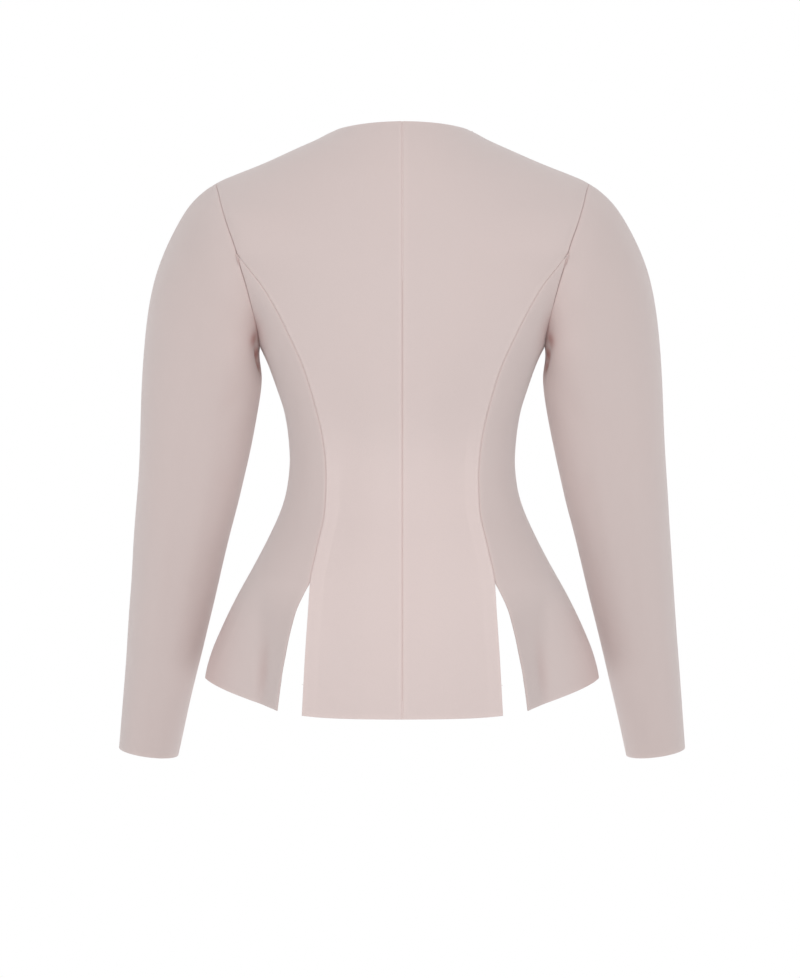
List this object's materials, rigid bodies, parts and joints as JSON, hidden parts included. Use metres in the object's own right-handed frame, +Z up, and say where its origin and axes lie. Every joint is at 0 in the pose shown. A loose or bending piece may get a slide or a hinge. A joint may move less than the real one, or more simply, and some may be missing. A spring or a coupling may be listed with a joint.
{
  "type": "peplum jacket",
  "caption": "Hollow worn jacket with princess seams, a slit and flared peplum, a V neck, covered front buttons and long set-in sleeves.",
  "frame": {"origin": "middle of the neck opening, level with the back neckline, where the wearer's neck and shoulders hold the jacket", "axes": "+Z up along the wearer, +Y out of the jacket's back, +X to the wearer's left"},
  "size_m": [0.605, 0.2598, 0.662],
  "materials": {
    "blush_crepe": "matte blush pink crepe, smooth, fine grain",
    "button_crepe": "the same crepe drawn tight over a button"
  },
  "bodies": {
    "root": {"back_left": "blush_crepe", "side_back_left": "blush_crepe", "front_left": "blush_crepe", "side_front_left": "blush_crepe", "sleeve_left": "blush_crepe", "back_right": "blush_crepe", "side_back_right": "blush_crepe", "front_right": "blush_crepe", "side_front_right": "blush_crepe", "sleeve_right": "blush_crepe", "button_1": "button_crepe", "button_2": "button_crepe", "button_3": "button_crepe", "button_4": "button_crepe"}
  },
  "joints": []
}
